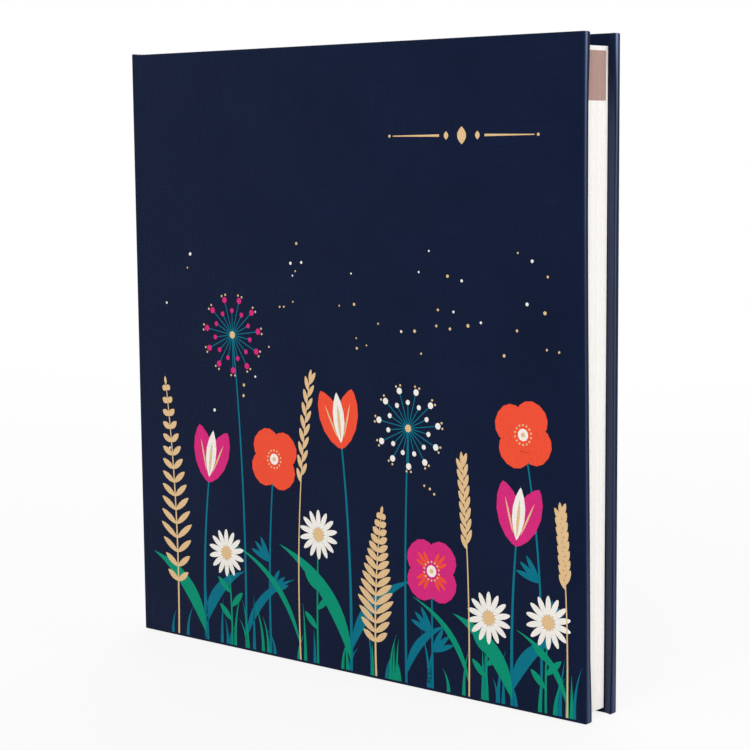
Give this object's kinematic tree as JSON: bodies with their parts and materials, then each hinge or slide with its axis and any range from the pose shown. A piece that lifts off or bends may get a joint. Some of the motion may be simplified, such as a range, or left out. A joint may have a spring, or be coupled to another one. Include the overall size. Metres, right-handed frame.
{
  "type": "address book",
  "caption": "Hardback address book with a sewn block of lettered page sections in a navy linen-finish case; both covers swing open and the pages fan with them.",
  "frame": {"origin": "on the surface the book stands on, under the middle of its overall box", "axes": "+X from the spine to the fore-edge, +Y from the front cover to the back cover, +Z from tail to head"},
  "size_m": [0.196, 0.0164, 0.21],
  "materials": {
    "cover_cloth": "navy linen-finish book cloth, satin",
    "grey_board": "unbleached grey binder's board",
    "endpaper": "smooth off-white endpaper",
    "page_paper": "uncoated off-white writing paper",
    "lining_paper": "brown kraft lining paper",
    "mull_gauze": "open-weave starched gauze",
    "linen_thread": "white sewing thread",
    "band_cord": "woven navy and white cord"
  },
  "bodies": {
    "spine": {"spine_board": "grey_board", "spine_cloth": "cover_cloth", "spine_lining": "lining_paper", "mull_lining": "mull_gauze", "sewing_thread": "linen_thread", "head_band": "band_cord", "tail_band": "band_cord", "section_mn": "page_paper"},
    "front_cover": {"front_board": "grey_board", "front_cover_cloth": "cover_cloth", "front_pastedown": "endpaper"},
    "back_cover": {"back_board": "grey_board", "back_cover_cloth": "cover_cloth", "back_pastedown": "endpaper"},
    "front_flyleaf": {"front_flyleaf": "endpaper"},
    "section_ab": {"section_ab": "page_paper"},
    "section_cd": {"section_cd": "page_paper"},
    "section_ef": {"section_ef": "page_paper"},
    "section_gh": {"section_gh": "page_paper"},
    "section_ij": {"section_ij": "page_paper"},
    "section_kl": {"section_kl": "page_paper"},
    "back_flyleaf": {"back_flyleaf": "endpaper"},
    "section_notes": {"section_notes": "page_paper"},
    "section_wxyz": {"section_wxyz": "page_paper"},
    "section_uv": {"section_uv": "page_paper"},
    "section_st": {"section_st": "page_paper"},
    "section_qr": {"section_qr": "page_paper"},
    "section_op": {"section_op": "page_paper"}
  },
  "joints": [
    {"name": "front_cover_hinge", "type": "hinge", "parent": "spine", "child": "front_cover", "pos_m": [-0.0954, -0.00834, 0.105], "axis": [0, 0, -1], "range_deg": [0, 178]},
    {"name": "front_flyleaf_turn", "type": "hinge", "parent": "spine", "child": "front_flyleaf", "pos_m": [-0.0954, -0.00834, 0.105], "axis": [0, 0, -1], "range_deg": [0, 108.8]},
    {"name": "section_ab_turn", "type": "hinge", "parent": "spine", "child": "section_ab", "pos_m": [-0.0954, -0.00834, 0.105], "axis": [0, 0, -1], "range_deg": [0, 93.67]},
    {"name": "section_cd_turn", "type": "hinge", "parent": "spine", "child": "section_cd", "pos_m": [-0.0954, -0.00834, 0.105], "axis": [0, 0, -1], "range_deg": [0, 78.54]},
    {"name": "section_ef_turn", "type": "hinge", "parent": "spine", "child": "section_ef", "pos_m": [-0.0954, -0.00834, 0.105], "axis": [0, 0, -1], "range_deg": [0, 63.41]},
    {"name": "section_gh_turn", "type": "hinge", "parent": "spine", "child": "section_gh", "pos_m": [-0.0954, -0.00834, 0.105], "axis": [0, 0, -1], "range_deg": [0, 48.28]},
    {"name": "section_ij_turn", "type": "hinge", "parent": "spine", "child": "section_ij", "pos_m": [-0.0954, -0.00834, 0.105], "axis": [0, 0, -1], "range_deg": [0, 33.15]},
    {"name": "section_kl_turn", "type": "hinge", "parent": "spine", "child": "section_kl", "pos_m": [-0.0954, -0.00834, 0.105], "axis": [0, 0, -1], "range_deg": [0, 18.02]},
    {"name": "back_cover_hinge", "type": "hinge", "parent": "spine", "child": "back_cover", "pos_m": [-0.0954, 0.00834, 0.105], "axis": [0, 0, 1], "range_deg": [0, 178]},
    {"name": "back_flyleaf_turn", "type": "hinge", "parent": "spine", "child": "back_flyleaf", "pos_m": [-0.0954, 0.00834, 0.105], "axis": [0, 0, 1], "range_deg": [0, 108.8]},
    {"name": "section_notes_turn", "type": "hinge", "parent": "spine", "child": "section_notes", "pos_m": [-0.0954, 0.00834, 0.105], "axis": [0, 0, 1], "range_deg": [0, 93.67]},
    {"name": "section_wxyz_turn", "type": "hinge", "parent": "spine", "child": "section_wxyz", "pos_m": [-0.0954, 0.00834, 0.105], "axis": [0, 0, 1], "range_deg": [0, 78.54]},
    {"name": "section_uv_turn", "type": "hinge", "parent": "spine", "child": "section_uv", "pos_m": [-0.0954, 0.00834, 0.105], "axis": [0, 0, 1], "range_deg": [0, 63.41]},
    {"name": "section_st_turn", "type": "hinge", "parent": "spine", "child": "section_st", "pos_m": [-0.0954, 0.00834, 0.105], "axis": [0, 0, 1], "range_deg": [0, 48.28]},
    {"name": "section_qr_turn", "type": "hinge", "parent": "spine", "child": "section_qr", "pos_m": [-0.0954, 0.00834, 0.105], "axis": [0, 0, 1], "range_deg": [0, 33.15]},
    {"name": "section_op_turn", "type": "hinge", "parent": "spine", "child": "section_op", "pos_m": [-0.0954, 0.00834, 0.105], "axis": [0, 0, 1], "range_deg": [0, 18.02]}
  ],
  "couplings": [
    {"joint": "front_flyleaf_turn", "follows": "front_cover_hinge", "ratio": 0.6},
    {"joint": "section_ab_turn", "follows": "front_cover_hinge", "ratio": 0.515},
    {"joint": "section_cd_turn", "follows": "front_cover_hinge", "ratio": 0.43},
    {"joint": "section_ef_turn", "follows": "front_cover_hinge", "ratio": 0.345},
    {"joint": "section_gh_turn", "follows": "front_cover_hinge", "ratio": 0.26},
    {"joint": "section_ij_turn", "follows": "front_cover_hinge", "ratio": 0.175},
    {"joint": "section_kl_turn", "follows": "front_cover_hinge", "ratio": 0.09},
    {"joint": "back_flyleaf_turn", "follows": "back_cover_hinge", "ratio": 0.6},
    {"joint": "section_notes_turn", "follows": "back_cover_hinge", "ratio": 0.515},
    {"joint": "section_wxyz_turn", "follows": "back_cover_hinge", "ratio": 0.43},
    {"joint": "section_uv_turn", "follows": "back_cover_hinge", "ratio": 0.345},
    {"joint": "section_st_turn", "follows": "back_cover_hinge", "ratio": 0.26},
    {"joint": "section_qr_turn", "follows": "back_cover_hinge", "ratio": 0.175},
    {"joint": "section_op_turn", "follows": "back_cover_hinge", "ratio": 0.09}
  ]
}
